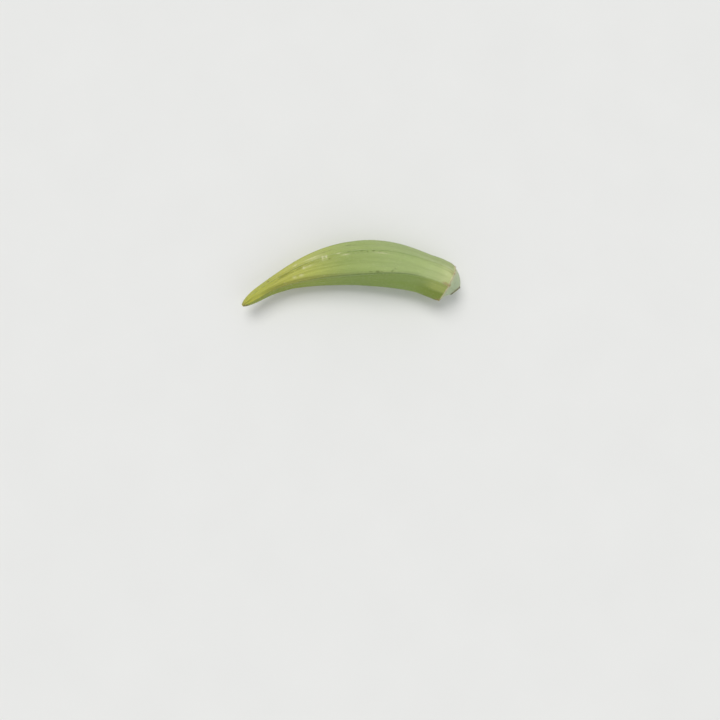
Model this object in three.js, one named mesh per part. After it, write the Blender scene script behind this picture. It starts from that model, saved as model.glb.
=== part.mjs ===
// An okra pod, picked and lying on its side. It grew as one piece: a curved, six-ridged body that narrows to
// a beak, the scar that the calyx left, and the low cone of the cap, where the stem is cut off short.
// Millimetres, +Z up. The beak points to -X and the stem to +X, and the bend bulges towards +Y.
import * as THREE from "three";
import { mergeVertices } from "three/addons/utils/BufferGeometryUtils.js";

const { degToRad, lerp, smoothstep } = THREE.MathUtils;

const SCAR_AT = 106.3; // distances along the axis, from the end of the beak
const CUT_AT = 112.2;

// The outline, read along the axis: the distance, the radius over the ridges, how flat the faces between the
// ridges are (0 is round, 1 is flat), and the axis's height above the surface that the pod lies on.
const OUTLINE = [
  [0, 0.9, 0, 9.7],
  [1, 1.45, 0.1, 9.6],
  [2.5, 2, 0.3, 9.5],
  [6, 2.8, 0.5, 9.3],
  [15, 3.6, 0.65, 8.8],
  [25, 5.05, 0.7, 8.4],
  [36, 7.35, 0.75, 8.2],
  [48, 9.35, 0.8, 8.55],
  [57, 10.35, 0.8, 9.25],
  [67, 11.05, 0.8, 9.8],
  [78, 11, 0.82, 9.75],
  [87, 10.45, 0.88, 9.25],
  [94, 10, 0.95, 8.9],
  [101, 10.15, 1, 9.05],
  [SCAR_AT, 9.25, 0.85, 9],
  [107.1, 8.35, 0.4, 8.95],
  [108.3, 7.1, 0.2, 8.9],
  [109.5, 5.75, 0.1, 8.85],
  [110.7, 4.3, 0, 8.8],
  [111.5, 3.3, 0, 8.75],
  [CUT_AT, 2.75, 0, 8.7],
];
const ROUND_END = 0.6; // the beak's end rounds off this far past the outline's start
const CUT_DISH = { depth: 0.3, from: 0.75 }; // the cut face sinks in its middle, inside this share of its rim

// The axis seen from above. Headings are degrees anticlockwise from +X.
const BEAK_HEADING = 37;
const BEND = { from: 4.5, radius: 90.5 };
const CAP_TURN = { angle: -24, from: 105, to: 113.5 };
const AXIS_STEP = 0.1;

// The ridges' crests, in degrees round the axis from the top towards the outside of the bend. Each one winds a
// little, from its place at the beak, the first angle, to its place at the cap, the second.
const CRESTS = [
  [-46, -17],
  [19, 29],
  [80, 88],
  [148, 152],
  [208, 210],
  [261, 275],
];
const WINDING = { from: 50, to: 108 };
const CREST_ROUNDING = 4; // degrees
const CREST_RIB = { height: 0.25, width: 4.5 };
const FACE_RIB = { height: 0.14, width: 4.5 }; // the faint rib along the middle of each face
const RIBS_GROW_TO = 22;
const RIBS_END = 0.6; // they die away over this last stretch before the scar

// The scar stands up as a thin, lumpy line that bows towards the stem at each crest. All of it leans a little,
// most towards the stem at one angle round the axis, in degrees.
const SCAR = { height: 0.34, width: 0.3, lumps: 0.5, bow: 0.2, bowReach: 1.5 };
const SCAR_LEAN = { by: 1.25, angle: -25, reach: 4 };
const SCAR_LUMPS = [
  { waves: 7, share: 0.5, phase: 0.4 },
  { waves: 12, share: 0.3, phase: 2.1 },
  { waves: 19, share: 0.2, phase: 1.2 },
];

// Faces round the pod, between two crests, and along it, as [to, steps].
const SECTOR_STEPS = 12;
const STATIONS = [
  [4, 5],
  [24, 9],
  [100, 26],
  [105.4, 5],
  [107.2, 9],
  [CUT_AT, 7],
];

const outlineAt = new THREE.CubicInterpolant(
  OUTLINE.map(([at]) => at),
  OUTLINE.flatMap(([, ...values]) => values),
  3,
);

function heading(at) {
  const bend = Math.max(0, at - BEND.from) / BEND.radius;
  const capTurn = CAP_TURN.angle * smoothstep(at, CAP_TURN.from, CAP_TURN.to);
  return degToRad(BEAK_HEADING + capTurn) - bend;
}

// The axis is walked in short steps. Past either end it runs straight on.
const walk = [new THREE.Vector3()];
for (let at = AXIS_STEP / 2; at < CUT_AT; at += AXIS_STEP) {
  const step = new THREE.Vector3(Math.cos(heading(at)), Math.sin(heading(at)), 0);
  walk.push(walk.at(-1).clone().addScaledVector(step, AXIS_STEP));
}

function axisPoint(at) {
  const whole = THREE.MathUtils.clamp(Math.floor(at / AXIS_STEP), 0, walk.length - 2);
  return new THREE.Vector3().lerpVectors(walk[whole], walk[whole + 1], at / AXIS_STEP - whole);
}

function crestAngle(at, ridge) {
  const [beak, cap] = CRESTS[ridge % CRESTS.length];
  const fullTurns = Math.floor(ridge / CRESTS.length);
  return lerp(beak, cap, smoothstep(at, WINDING.from, WINDING.to)) + 360 * fullTurns;
}

// Where the section is, a full turn being one for each ridge: its crest's and its face's share of the rib
// shapes, its true angle, and the radius of a flat-faced section whose crests are at 1.
function section(at, turn) {
  const ridge = Math.floor(turn) % CRESTS.length;
  const from = crestAngle(at, ridge);
  const to = crestAngle(at, ridge + 1);
  const half = (to - from) / 2;
  const across = turn - Math.floor(turn);
  const fromFace = Math.abs(2 * across - 1) * half;
  const fromCrest = half - fromFace;
  const rounded = half + CREST_ROUNDING - Math.hypot(fromCrest, CREST_ROUNDING);
  return {
    angle: degToRad(lerp(from, to, across)),
    flat: Math.cos(degToRad(half)) / Math.cos(degToRad(rounded)),
    crest: Math.exp(-((fromCrest / CREST_RIB.width) ** 2)),
    face: Math.exp(-((fromFace / FACE_RIB.width) ** 2)),
  };
}

function scarHeight(at, angle) {
  let lumps = 0;
  for (const { waves, share, phase } of SCAR_LUMPS) lumps += share * Math.sin(waves * angle + phase);
  return SCAR.height * (1 + SCAR.lumps * lumps) * Math.exp(-(((at - SCAR_AT) / SCAR.width) ** 2));
}

// Carries a point of the plain lathe, which stands on +Y, to its place on the pod.
function placeOnPod(point) {
  const at = point.y;
  const turn = ((Math.atan2(point.z, point.x) / (2 * Math.PI) + 1) % 1) * CRESTS.length;
  const { angle, flat, crest, face } = section(at, turn);
  const [outer, flatness, height] = outlineAt.evaluate(THREE.MathUtils.clamp(at, 0, CUT_AT));
  const onBody = smoothstep(at, 0, RIBS_GROW_TO) * (1 - smoothstep(at, SCAR_AT - RIBS_END, SCAR_AT));
  const ribs = onBody * (CREST_RIB.height * crest + FACE_RIB.height * face);
  const share = Math.hypot(point.x, point.z) / outer;
  const radius = share * (outer * (1 - flatness * (1 - flat)) + ribs + scarHeight(at, angle));
  const bow = SCAR.bow * crest * Math.exp(-(((at - SCAR_AT) / SCAR.bowReach) ** 2));
  const leaning = SCAR_LEAN.by * Math.exp(-(((at - SCAR_AT) / SCAR_LEAN.reach) ** 2));
  const lean = share * leaning * Math.cos(angle - degToRad(SCAR_LEAN.angle));
  const along = heading(at);
  point.copy(axisPoint(at + bow + lean));
  point.x -= radius * Math.sin(angle) * Math.sin(along);
  point.y += radius * Math.sin(angle) * Math.cos(along);
  point.z = Math.max(0, height + radius * Math.cos(angle)); // pressed flat where the pod lies on the surface
}

function podGeometry() {
  const profile = [new THREE.Vector2(0, -ROUND_END), new THREE.Vector2(OUTLINE[0][1], 0)];
  for (const [to, steps] of STATIONS) {
    const from = profile.at(-1).y;
    for (let step = 1; step <= steps; step += 1) {
      const at = lerp(from, to, step / steps);
      profile.push(new THREE.Vector2(outlineAt.evaluate(at)[0], at));
    }
  }
  const rim = profile.at(-1).x;
  profile.push(new THREE.Vector2(rim * CUT_DISH.from, CUT_AT - CUT_DISH.depth / 2));
  profile.push(new THREE.Vector2(0, CUT_AT - CUT_DISH.depth));

  const lathe = new THREE.LatheGeometry(profile, SECTOR_STEPS * CRESTS.length);
  lathe.deleteAttribute("normal");
  lathe.deleteAttribute("uv");
  const position = lathe.getAttribute("position");
  const point = new THREE.Vector3();
  for (let index = 0; index < position.count; index += 1) {
    point.fromBufferAttribute(position, index);
    placeOnPod(point);
    position.setXYZ(index, point.x, point.y, point.z);
  }
  const pod = mergeVertices(lathe, 1e-4);
  pod.computeBoundingBox();
  const middle = pod.boundingBox.getCenter(new THREE.Vector3());
  pod.translate(-middle.x, -middle.y, 0); // the origin is under the middle of the pod's box
  pod.computeVertexNormals();
  return pod;
}

const podSkin = new THREE.MeshStandardMaterial({ color: "#9caf62", roughness: 0.5, metalness: 0 });
const pod = new THREE.Mesh(podGeometry(), podSkin);
pod.name = "okra_pod";

const okra = new THREE.Group();
okra.add(pod);

export default okra;
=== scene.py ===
# %% [markdown]
# # An okra pod, lying on its side
#
# Okra is picked young, while its pod is still soft. The pod grows as one piece: a ridged body that ends in a
# beak, a rough brown ring where the calyx dropped off, and a pale cone, the cap, on which the stem was cut.
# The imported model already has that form. This script adds its fine relief, its fuzz and its colours.

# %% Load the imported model
import math
from types import SimpleNamespace

import bmesh
import bpy
import numpy as np
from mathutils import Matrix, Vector, noise


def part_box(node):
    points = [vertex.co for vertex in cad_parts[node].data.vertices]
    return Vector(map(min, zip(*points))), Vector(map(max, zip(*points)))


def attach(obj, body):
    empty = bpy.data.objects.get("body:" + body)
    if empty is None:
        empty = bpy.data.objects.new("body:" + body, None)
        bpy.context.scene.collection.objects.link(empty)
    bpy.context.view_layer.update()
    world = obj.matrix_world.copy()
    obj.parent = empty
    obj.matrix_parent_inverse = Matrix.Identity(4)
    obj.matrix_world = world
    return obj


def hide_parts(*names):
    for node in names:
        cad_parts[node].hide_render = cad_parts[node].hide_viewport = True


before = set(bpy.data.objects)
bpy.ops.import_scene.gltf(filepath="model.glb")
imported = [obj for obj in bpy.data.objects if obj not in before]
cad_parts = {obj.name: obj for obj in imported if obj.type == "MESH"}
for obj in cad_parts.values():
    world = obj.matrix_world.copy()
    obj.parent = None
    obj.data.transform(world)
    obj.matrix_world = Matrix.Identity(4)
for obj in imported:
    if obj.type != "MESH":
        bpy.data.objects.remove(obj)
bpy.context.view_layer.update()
MM = 0.001

# %% [markdown]
# ## The pod's form
#
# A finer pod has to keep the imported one's form, so the same few measures are set down here, in millimetres.
# They say how thick the pod is at each place along its axis, how its axis bends, and where its ridges stand.
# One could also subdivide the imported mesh, but its triangles don't follow the ridges. A form worked out from
# measures can be made as fine as one likes, with its edges where the ridges need them.

# %% Measures
SCAR_AT = 106.3
CUT_AT = 112.2

# Distance along the axis, radius over the ridges, flatness of the faces, height of the axis above the floor.
OUTLINE = np.array([
    (0, 0.9, 0, 9.7),
    (1, 1.45, 0.1, 9.6),
    (2.5, 2, 0.3, 9.5),
    (6, 2.8, 0.5, 9.3),
    (15, 3.6, 0.65, 8.8),
    (25, 5.05, 0.7, 8.4),
    (36, 7.35, 0.75, 8.2),
    (48, 9.35, 0.8, 8.55),
    (57, 10.35, 0.8, 9.25),
    (67, 11.05, 0.8, 9.8),
    (78, 11, 0.82, 9.75),
    (87, 10.45, 0.88, 9.25),
    (94, 10, 0.95, 8.9),
    (101, 10.15, 1, 9.05),
    (SCAR_AT, 9.25, 0.85, 9),
    (107.1, 8.35, 0.4, 8.95),
    (108.3, 7.1, 0.2, 8.9),
    (109.5, 5.75, 0.1, 8.85),
    (110.7, 4.3, 0, 8.8),
    (111.5, 3.3, 0, 8.75),
    (CUT_AT, 2.75, 0, 8.7),
])
ROUND_END = 0.6  # the tip rounds off this far before the table's start
CUT_DISH = 0.3  # the middle of the cut face lies this deep

# The axis seen from above, with headings in degrees. It bends evenly, and the cap turns a little further.
BEAK_HEADING = 37
BEND_FROM = 4.5
BEND_RADIUS = 90.5
CAP_TURN = -24
CAP_TURN_SPAN = (105, 113.5)
AXIS_STEP = 0.1

# The angle of each ridge at the beak and at the cap, in degrees from the top towards the outside of the bend.
CRESTS = np.array([(-46, -17), (19, 29), (80, 88), (148, 152), (208, 210), (261, 275)])
WINDING_SPAN = (50, 108)
CREST_ROUNDING = 4
print(len(CRESTS), "ridges on a pod", CUT_AT, "mm long, measured along its axis")

# %% [markdown]
# The measures in between come from a smooth curve through each column of the table. NumPy works on all points
# at once, which keeps a mesh of ninety thousand points quick.

# %% Read the measures at any place
def smoothstep(value, low, high):
    share = np.clip((value - low) / (high - low), 0, 1)
    return share * share * (3 - 2 * share)


def bump(distance, width):
    return np.exp(-((distance / width) ** 2))


def outline(along):
    at, values = OUTLINE[:, 0], OUTLINE[:, 1:]
    slopes = np.diff(values, axis=0) / np.diff(at)[:, None]
    tangents = np.vstack([slopes[:1], (slopes[:-1] + slopes[1:]) / 2, slopes[-1:]])
    along = np.clip(along, 0, CUT_AT)
    row = np.clip(np.searchsorted(at, along, side="right") - 1, 0, len(at) - 2)
    gap = (at[row + 1] - at[row])[:, None]
    share = (along - at[row])[:, None] / gap
    smooth = share * share * (3 - 2 * share)
    leaving = tangents[row] * share * (1 - share) ** 2
    arriving = tangents[row + 1] * share**2 * (share - 1)
    return (values[row] * (1 - smooth) + values[row + 1] * smooth + gap * (leaving + arriving)).T


def heading(along):
    bend = np.maximum(0, along - BEND_FROM) / BEND_RADIUS
    return np.radians(BEAK_HEADING + CAP_TURN * smoothstep(along, *CAP_TURN_SPAN)) - bend


steps = heading(np.arange(AXIS_STEP / 2, CUT_AT, AXIS_STEP))
axis_walk = AXIS_STEP * np.cumsum([np.cos(steps), np.sin(steps)], axis=1).T
axis_walk = np.vstack([[0, 0], axis_walk])


def axis_point(along):
    whole = np.clip(np.floor(along / AXIS_STEP).astype(int), 0, len(axis_walk) - 2)
    share = (along / AXIS_STEP - whole)[:, None]
    return axis_walk[whole] * (1 - share) + axis_walk[whole + 1] * share


print("thickest radius", outline(np.linspace(0, CUT_AT, 500))[0].max().round(2), "mm")

# %% [markdown]
# Round the pod, a place is given in turns, one turn from each crest to the next. Between two crests a face is
# nearly flat, so its middle lies closer to the axis than its crests do.

# %% Read the section at any place
def crest_angle(ridge, along):
    beak, cap = CRESTS[ridge % len(CRESTS)].T
    return beak + (cap - beak) * smoothstep(along, *WINDING_SPAN) + 360 * (ridge // len(CRESTS))


def section(turn, along):
    ridge = np.floor(turn).astype(int) % len(CRESTS)
    start, end = crest_angle(ridge, along), crest_angle(ridge + 1, along)
    half = (end - start) / 2
    across = turn - np.floor(turn)
    from_face = np.abs(2 * across - 1) * half
    from_crest = half - from_face
    rounded = half + CREST_ROUNDING - np.hypot(from_crest, CREST_ROUNDING)
    flat = np.cos(np.radians(half)) / np.cos(np.radians(rounded))
    return np.radians(start + across * (end - start)), flat, from_crest, from_face


# %% [markdown]
# ## The fine relief
#
# From near, an okra's crest is a thin raised cord with a shallow groove on each side, and a weaker line runs
# down the middle of each face. Veins wander lengthwise between them, and the young seeds show as faint lumps.
# Such relief could be left to a bump in the material, but it would vanish from the outline and from the mesh,
# so all but the finest of it goes into the points.

# %% Lumps that wander
def lumps(points, size, seed):
    """Smooth noise from about -1 to 1. The size of its lumps is one number or one for each axis."""
    return np.array([noise.noise(Vector(point)) for point in points / size + 31.7 * seed])


def unrolled(angle, along, radius=9.0):
    """A place on a straight rod, on which lengthwise patterns run straight and have no seam."""
    return np.column_stack([radius * np.cos(angle), radius * np.sin(angle), along])


# %% Relief of the body
CORD = {"height": 0.12, "width": 0.42, "edge": 0.07, "edge_width": 0.17}
GROOVE = {"depth": 0.09, "at": 0.95, "width": 0.38}
FACE_LINE = {"height": 0.1, "width": 0.45}
LINES_FADE = {"from": 42, "to": 92, "left": 0.3}
LINES_UNEVEN = {"by": 0.35, "size": np.array([5, 5, 7])}
SWELL = {"at_crest": 0.06, "at_face": 0.05, "width": 6}  # the width is in degrees
FLUTE = {"height": 0.09, "size": np.array([2.4, 2.4, 70])}
DENT = {"depth": 0.1, "size": np.array([7, 7, 16])}
PUCKER = {"depth": 0.03, "size": np.array([1.2, 1.2, 3.5])}
VEIN = {"height": 0.03, "size": np.array([2.6, 2.6, 46])}
SEED_LUMP = {"height": 0.07, "apart": 5.6, "grows": (26, 45), "ends": (88, 96)}
SEED_ROW = {"aside": 0.22, "width": 0.12, "shifted": 0.35}  # two shares of the radius, and one of the spacing
RIBS_GROW_TO = 22
RIBS_END = 0.6


def veins(angle, along):
    """1 along the middle of a vein, 0 between veins: the places where two slow noises cross zero."""
    first = lumps(unrolled(angle, along), VEIN["size"], 1)
    second = lumps(unrolled(angle, along), VEIN["size"] * 0.6, 2)
    return np.maximum(bump(first, 0.05), 0.7 * bump(second, 0.06))


def body_relief(angle, along, from_crest, from_face, radius):
    """The height of the relief, and the veins in it."""
    crest = np.radians(from_crest) * radius
    face = np.radians(from_face) * radius
    rod = unrolled(angle, along)
    on_body = smoothstep(along, 0, RIBS_GROW_TO) * (1 - smoothstep(along, SCAR_AT - RIBS_END, SCAR_AT))
    uneven = 1 + LINES_UNEVEN["by"] * lumps(rod, LINES_UNEVEN["size"], 3)
    lines = 1 - (1 - LINES_FADE["left"]) * smoothstep(along, LINES_FADE["from"], LINES_FADE["to"])
    cord = CORD["height"] * bump(crest, CORD["width"]) + CORD["edge"] * bump(crest, CORD["edge_width"])
    swell = SWELL["at_crest"] * bump(from_crest, SWELL["width"])
    swell = swell + SWELL["at_face"] * bump(from_face, SWELL["width"])
    groove = GROOVE["depth"] * bump(crest - GROOVE["at"], GROOVE["width"])
    line = FACE_LINE["height"] * bump(face, FACE_LINE["width"])
    vein = veins(angle, along)
    half_face = np.floor(len(CRESTS) * angle / np.pi)
    seeds = 0.5 + 0.5 * np.cos(2 * np.pi * (along / SEED_LUMP["apart"] + SEED_ROW["shifted"] * half_face))
    seeds = seeds * bump(face - radius * SEED_ROW["aside"], radius * SEED_ROW["width"])
    seeds = seeds * smoothstep(along, *SEED_LUMP["grows"]) * (1 - smoothstep(along, *SEED_LUMP["ends"]))
    fine = uneven * lines * (cord + line - groove) + VEIN["height"] * vein + swell
    flutes = FLUTE["height"] * lumps(rod, FLUTE["size"], 16)
    dents = flutes + DENT["depth"] * lumps(rod, DENT["size"], 4)
    dents = dents + PUCKER["depth"] * lumps(rod, PUCKER["size"], 5)
    return on_body * (fine + dents + SEED_LUMP["height"] * seeds), on_body * vein


# %% [markdown]
# The calyx leaves a ring of torn, corky tissue. It stands up as an uneven line, bows towards the stem at each
# crest, and leans as a whole. Past it are a weaker second line and small scars, where the outer bracts stood.

# %% Relief of the ring and the cap
RING = {"height": 0.34, "width": 0.3, "wander": 0.24, "torn": 0.1}
RING_BOW = {"by": 0.2, "width": 4.5, "reach": 1.5}  # the width is in degrees
RING_LEAN = {"by": 1.25, "angle": -25, "reach": 4}
RING_WAVES = [(7, 0.5, 0.4), (12, 0.3, 2.1), (19, 0.2, 1.2)]  # how many, their share, their phase
RING_GROOVE = {"depth": 0.07, "after": 0.55, "width": 0.2}
SECOND_RING = {"after": 1.0, "height": 0.1, "width": 0.16, "wander": 0.15}
BRACT_SCARS = {"count": 9, "after": 2.2, "size": 0.4, "depth": 0.05}
CAP_STARTS = (0.3, 1.5)
CAP_WRINKLE = {"depth": 0.06, "size": np.array([0.5, 0.5, 3.2])}
CAP_FOLD = {"depth": 0.1, "size": np.array([2, 2, 8])}
CAP_LUMP = {"depth": 0.05, "size": 2.2}


def ring_relief(angle, along):
    """The height of the relief past the body, how much ring there is, and how much bract scar."""
    past = along - SCAR_AT
    rod = unrolled(angle, along, 8.5)
    waves = sum(share * np.sin(count * angle + phase) for count, share, phase in RING_WAVES)
    torn = lumps(rod, np.array([0.5, 0.5, 0.35]), 6)
    ring = bump(past + RING["wander"] * lumps(rod, 0.9, 7), RING["width"])
    height = RING["height"] * (1 + 0.5 * waves) * ring + RING["torn"] * torn * ring
    second_at = SECOND_RING["after"] + SECOND_RING["wander"] * lumps(rod, 1.6, 8)
    second = bump(past - second_at, SECOND_RING["width"])
    second = second * smoothstep(lumps(rod, 1.4, 9), -0.5, 0.3)
    groove = RING_GROOVE["depth"] * bump(past - RING_GROOVE["after"], RING_GROOVE["width"])
    height = height + SECOND_RING["height"] * second - groove
    spacing = 2 * np.pi / BRACT_SCARS["count"]
    wander = 0.16 * np.sin(2 * angle + 1) + 0.09 * np.sin(5 * angle)
    aside = (np.mod(angle + wander, spacing) - spacing / 2) * 7
    beyond = past - BRACT_SCARS["after"] - 0.35 * np.sin(3 * angle + 2)
    bract = bump(np.hypot(0.8 * aside, 1.5 * beyond), BRACT_SCARS["size"])
    bract = bract * (0.15 + 0.85 * smoothstep(lumps(rod, 5, 17), -0.1, 0.35))
    neck = unrolled(angle, along, 5)
    wrinkles = CAP_WRINKLE["depth"] * lumps(neck, CAP_WRINKLE["size"], 10)
    wrinkles = wrinkles + CAP_FOLD["depth"] * lumps(neck, CAP_FOLD["size"], 18)
    wrinkles = wrinkles + CAP_LUMP["depth"] * lumps(rod, CAP_LUMP["size"], 11)
    cap = smoothstep(past, *CAP_STARTS)
    height = height + cap * wrinkles - BRACT_SCARS["depth"] * bract
    return height, np.maximum(ring, 0.36 * second), bract * cap


# %% [markdown]
# The dried end of the beak is wrinkled, and the cut end of the stem is sunk in its middle, because the pith
# dries faster than the fibres round it. The knife leaves faint steps across it.

# %% Relief of the two ends
PITH = 0.4  # these two are shares of the cut face's radius
FIBRE_RING = 0.66
CUT_RADIUS = OUTLINE[-1, 1]
TIP_WRINKLE = {"depth": 0.11, "size": np.array([0.3, 0.3, 1.2]), "ends": (1.5, 5)}
KNIFE_MARK = {"depth": 0.025, "size": np.array([0.35, 4, 1])}
FIBRE_HEIGHT = 0.05
PITH_PITS = 0.04


def tip_relief(angle, along):
    wrinkles = lumps(unrolled(angle, along, 1.2), TIP_WRINKLE["size"], 12)
    return (1 - smoothstep(along, *TIP_WRINKLE["ends"])) * TIP_WRINKLE["depth"] * wrinkles


def cut_relief(angle, share):
    """How far the cut face stands out along the axis. It is 0 at the rim, and all over the pod's own skin."""
    inside = 1 - smoothstep(share, 0.93, 1)
    face = np.column_stack([share * np.cos(angle), share * np.sin(angle), np.zeros_like(share)]) * CUT_RADIUS
    fibres = FIBRE_HEIGHT * bump(share - FIBRE_RING, 0.1) * (1 + lumps(face, 0.22, 13))
    knife = KNIFE_MARK["depth"] * lumps(face, KNIFE_MARK["size"], 14)
    pith = PITH_PITS * lumps(face, 0.3, 15) * (1 - smoothstep(share, PITH, FIBRE_RING))
    return inside * (fibres + knife + pith)


# %% [markdown]
# Now a place on a plain rod can be carried to its place on the pod. Where the pod meets the floor, its own
# weight presses it flat. The materials paint shade on the face that lay away from the light, and a darker
# painted shade on the crest above it, so both places are worked out here too.

# %% Carry a rod's points to the pod
PRESS = 0.12  # how softly the skin goes over into the flat

# Spans round the pod are in turns, and spans along it and reaches in millimetres.
# The painted shade on the face away from the light, and how it pales under its upper crest.
SHADED_FACE = {"grows": (4.3, 5), "ends": (5.94, 6.02)}
PALER_PART = {"grows": (5.35, 5.75), "by": 0.15, "more_near_ring": 0.35, "near_ring": (88, 103)}
# The darker painted shade on the crest above that face: where it lies along the pod, how far it reaches.
CREST_SHADE_SPAN = {"starts": (8, 15), "ends": (86, 98)}
CREST_SHADE_REACH = {"at_beak": 2.6, "at_cap": 1.15, "narrows": (28, 66), "below": 0.35}


def shaded(turn, along):
    """Painted shade: 1 on the face away from the light, less under its upper crest, least near the ring."""
    turn = np.mod(turn, len(CRESTS))
    grows = smoothstep(turn, *SHADED_FACE["grows"])
    ends = 1 - smoothstep(turn, *SHADED_FACE["ends"])
    paler = smoothstep(turn, *PALER_PART["grows"])
    less = PALER_PART["by"] + PALER_PART["more_near_ring"] * smoothstep(along, *PALER_PART["near_ring"])
    return grows * ends * (1 - paler * less)


def dark_crest(turn, along, crest):
    """Painted shade: 1 on the crest above the shaded face, fading away, more slowly on the upper side."""
    past = np.mod(turn + len(CRESTS) / 2, len(CRESTS)) - len(CRESTS) / 2
    widest, narrowest = CREST_SHADE_REACH["at_beak"], CREST_SHADE_REACH["at_cap"]
    reach = widest - (widest - narrowest) * smoothstep(along, *CREST_SHADE_REACH["narrows"])
    reach = np.where(past > 0, reach, CREST_SHADE_REACH["below"])
    near = np.where(np.abs(past) < 0.5, 1 - smoothstep(crest / reach, 0, 1), 0)
    return near * smoothstep(along, *CREST_SHADE_SPAN["starts"]) * (1 - smoothstep(along, *CREST_SHADE_SPAN["ends"]))


def carry(turn, along, share):
    """The points on the pod, in millimetres, and what the materials need to know at each of them."""
    angle, flat, from_crest, from_face = section(turn, along)
    radius, flatness, height = outline(along)
    relief, vein = body_relief(angle, along, from_crest, from_face, radius)
    past_relief, ring, bract = ring_relief(angle, along)
    relief = relief + past_relief + tip_relief(angle, along)
    out = share * (radius * (1 - flatness * (1 - flat)) + relief)
    crest = np.radians(from_crest) * radius
    bow = RING_BOW["by"] * bump(from_crest, RING_BOW["width"]) * bump(along - SCAR_AT, RING_BOW["reach"])
    lean = RING_LEAN["by"] * bump(along - SCAR_AT, RING_LEAN["reach"])
    lean = share * lean * np.cos(angle - math.radians(RING_LEAN["angle"]))
    on_cut = along > CUT_AT - 2 * CUT_DISH
    lift = np.where(on_cut, cut_relief(angle, share), 0)
    course = heading(along)
    middle = axis_point(along + bow + lean + lift)
    sideways = out * np.sin(angle)
    z = height + out * np.cos(angle)
    z = (z + np.hypot(z, PRESS)) / 2
    points = np.column_stack([
        middle[:, 0] - sideways * np.sin(course),
        middle[:, 1] + sideways * np.cos(course),
        z,
    ])
    return points, {
        "rod": unrolled(angle, along),
        "crest": crest,
        "face": np.radians(from_face) * radius,
        "vein": vein,
        "shaded": shaded(turn, along),
        "dark_crest": dark_crest(turn, along, crest),
        "ring": ring,
        "bract": bract,
        "share": share,
    }


# %% [markdown]
# ## The pod's mesh
#
# The pod starts as a rod: one line of points, spun round the axis. A spin closes on itself when its last line
# is merged with its first, and the points where the line touches the axis are merged as well. The line's
# points are close together where the relief is fine, at the ring and at both ends.

# %% Spin a rod
COLUMNS_TO_A_FACE = 54
LENGTHWISE = [(4, 18), (100, 150), (104.6, 14), (108.4, 48), (112, 26)]  # up to where, and in how many steps
ROUND_TIP_STEPS = 6
CUT_RIM = [(1, 112.12), (0.985, 112.18), (0.955, CUT_AT)]  # shares of the radius, and where they are
CUT_STEPS = 17


def rod_line():
    """Pairs of a share of the radius and a distance along the axis, from the tip to the middle of the cut."""
    line = []
    for quarter in np.linspace(0, math.pi / 2, ROUND_TIP_STEPS, endpoint=False):
        line.append((math.sin(quarter), -ROUND_END * math.cos(quarter)))
    start = 0
    for end, count in LENGTHWISE:
        line += [(1, along) for along in np.linspace(start, end, count, endpoint=False)]
        start = end
    line += CUT_RIM
    for share in np.linspace(CUT_RIM[-1][0], 0, CUT_STEPS + 1)[1:]:
        line.append((share, CUT_AT - CUT_DISH * math.sqrt(1 - share)))
    return line


def spin_rod(name):
    rod = bmesh.new()
    points = [rod.verts.new((share, 0, along)) for share, along in rod_line()]
    edges = [rod.edges.new(pair) for pair in zip(points, points[1:])]
    columns = COLUMNS_TO_A_FACE * len(CRESTS)
    full_turn = 2 * math.pi
    bmesh.ops.spin(rod, geom=points + edges, axis=(0, 0, 1), angle=full_turn, steps=columns, use_merge=True)
    bmesh.ops.remove_doubles(rod, verts=rod.verts, dist=1e-5)
    bmesh.ops.recalc_face_normals(rod, faces=rod.faces)
    mesh = bpy.data.meshes.new(name)
    rod.to_mesh(mesh)
    rod.free()
    return mesh


pod_mesh = spin_rod("ridged_pod")
print("the rod has", len(pod_mesh.vertices), "points and", len(pod_mesh.polygons), "faces")

# %% [markdown]
# The rod's columns are moved together at the crests and at the middle of each face, where the fine lines are.
# Then every point is carried to the pod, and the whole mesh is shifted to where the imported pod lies. What the
# materials need to know at each point is stored there under a name.

# %% Carry the rod to the pod
CLOSER_AT_CREST = 0.22
CLOSER_AT_LINES = 0.3


def read_points(mesh):
    points = np.empty(3 * len(mesh.vertices))
    mesh.vertices.foreach_get("co", points)
    return points.reshape(-1, 3)


def write_points(mesh, points):
    mesh.vertices.foreach_set("co", np.ascontiguousarray(points, dtype=np.float32).ravel())
    mesh.update()


def write_detail(mesh, name, values):
    """Stores a number or a vector at each point of the mesh, for a material to read."""
    kind, field = ("FLOAT_VECTOR", "vector") if values.ndim == 2 else ("FLOAT", "value")
    layer = mesh.attributes.new(name, kind, "POINT")
    layer.data.foreach_set(field, np.ascontiguousarray(values, dtype=np.float32).ravel())


rod_points = read_points(pod_mesh)
rod_turn = np.mod(np.arctan2(-rod_points[:, 1], rod_points[:, 0]) / (2 * np.pi), 1) * len(CRESTS)
across = np.mod(rod_turn, 1)
rod_turn = rod_turn - CLOSER_AT_CREST * np.sin(2 * np.pi * across) / (2 * np.pi)
rod_turn = rod_turn - CLOSER_AT_LINES * np.sin(4 * np.pi * across) / (4 * np.pi)
rod_share = np.minimum(np.hypot(rod_points[:, 0], rod_points[:, 1]), 1)
pod_points, pod_details = carry(rod_turn, rod_points[:, 2], rod_share)

node_low, node_high = (np.array(corner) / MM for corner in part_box("okra_pod"))
shift = (node_low + node_high - pod_points.min(axis=0) - pod_points.max(axis=0)) / 2
shift[2] = 0
pod_points = pod_points + shift
write_points(pod_mesh, pod_points * MM)
for detail_name, detail_values in pod_details.items():
    write_detail(pod_mesh, detail_name, detail_values)
pod_mesh.shade_smooth()
print("the fine pod measures", np.ptp(pod_points, axis=0).round(2), "mm")
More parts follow.
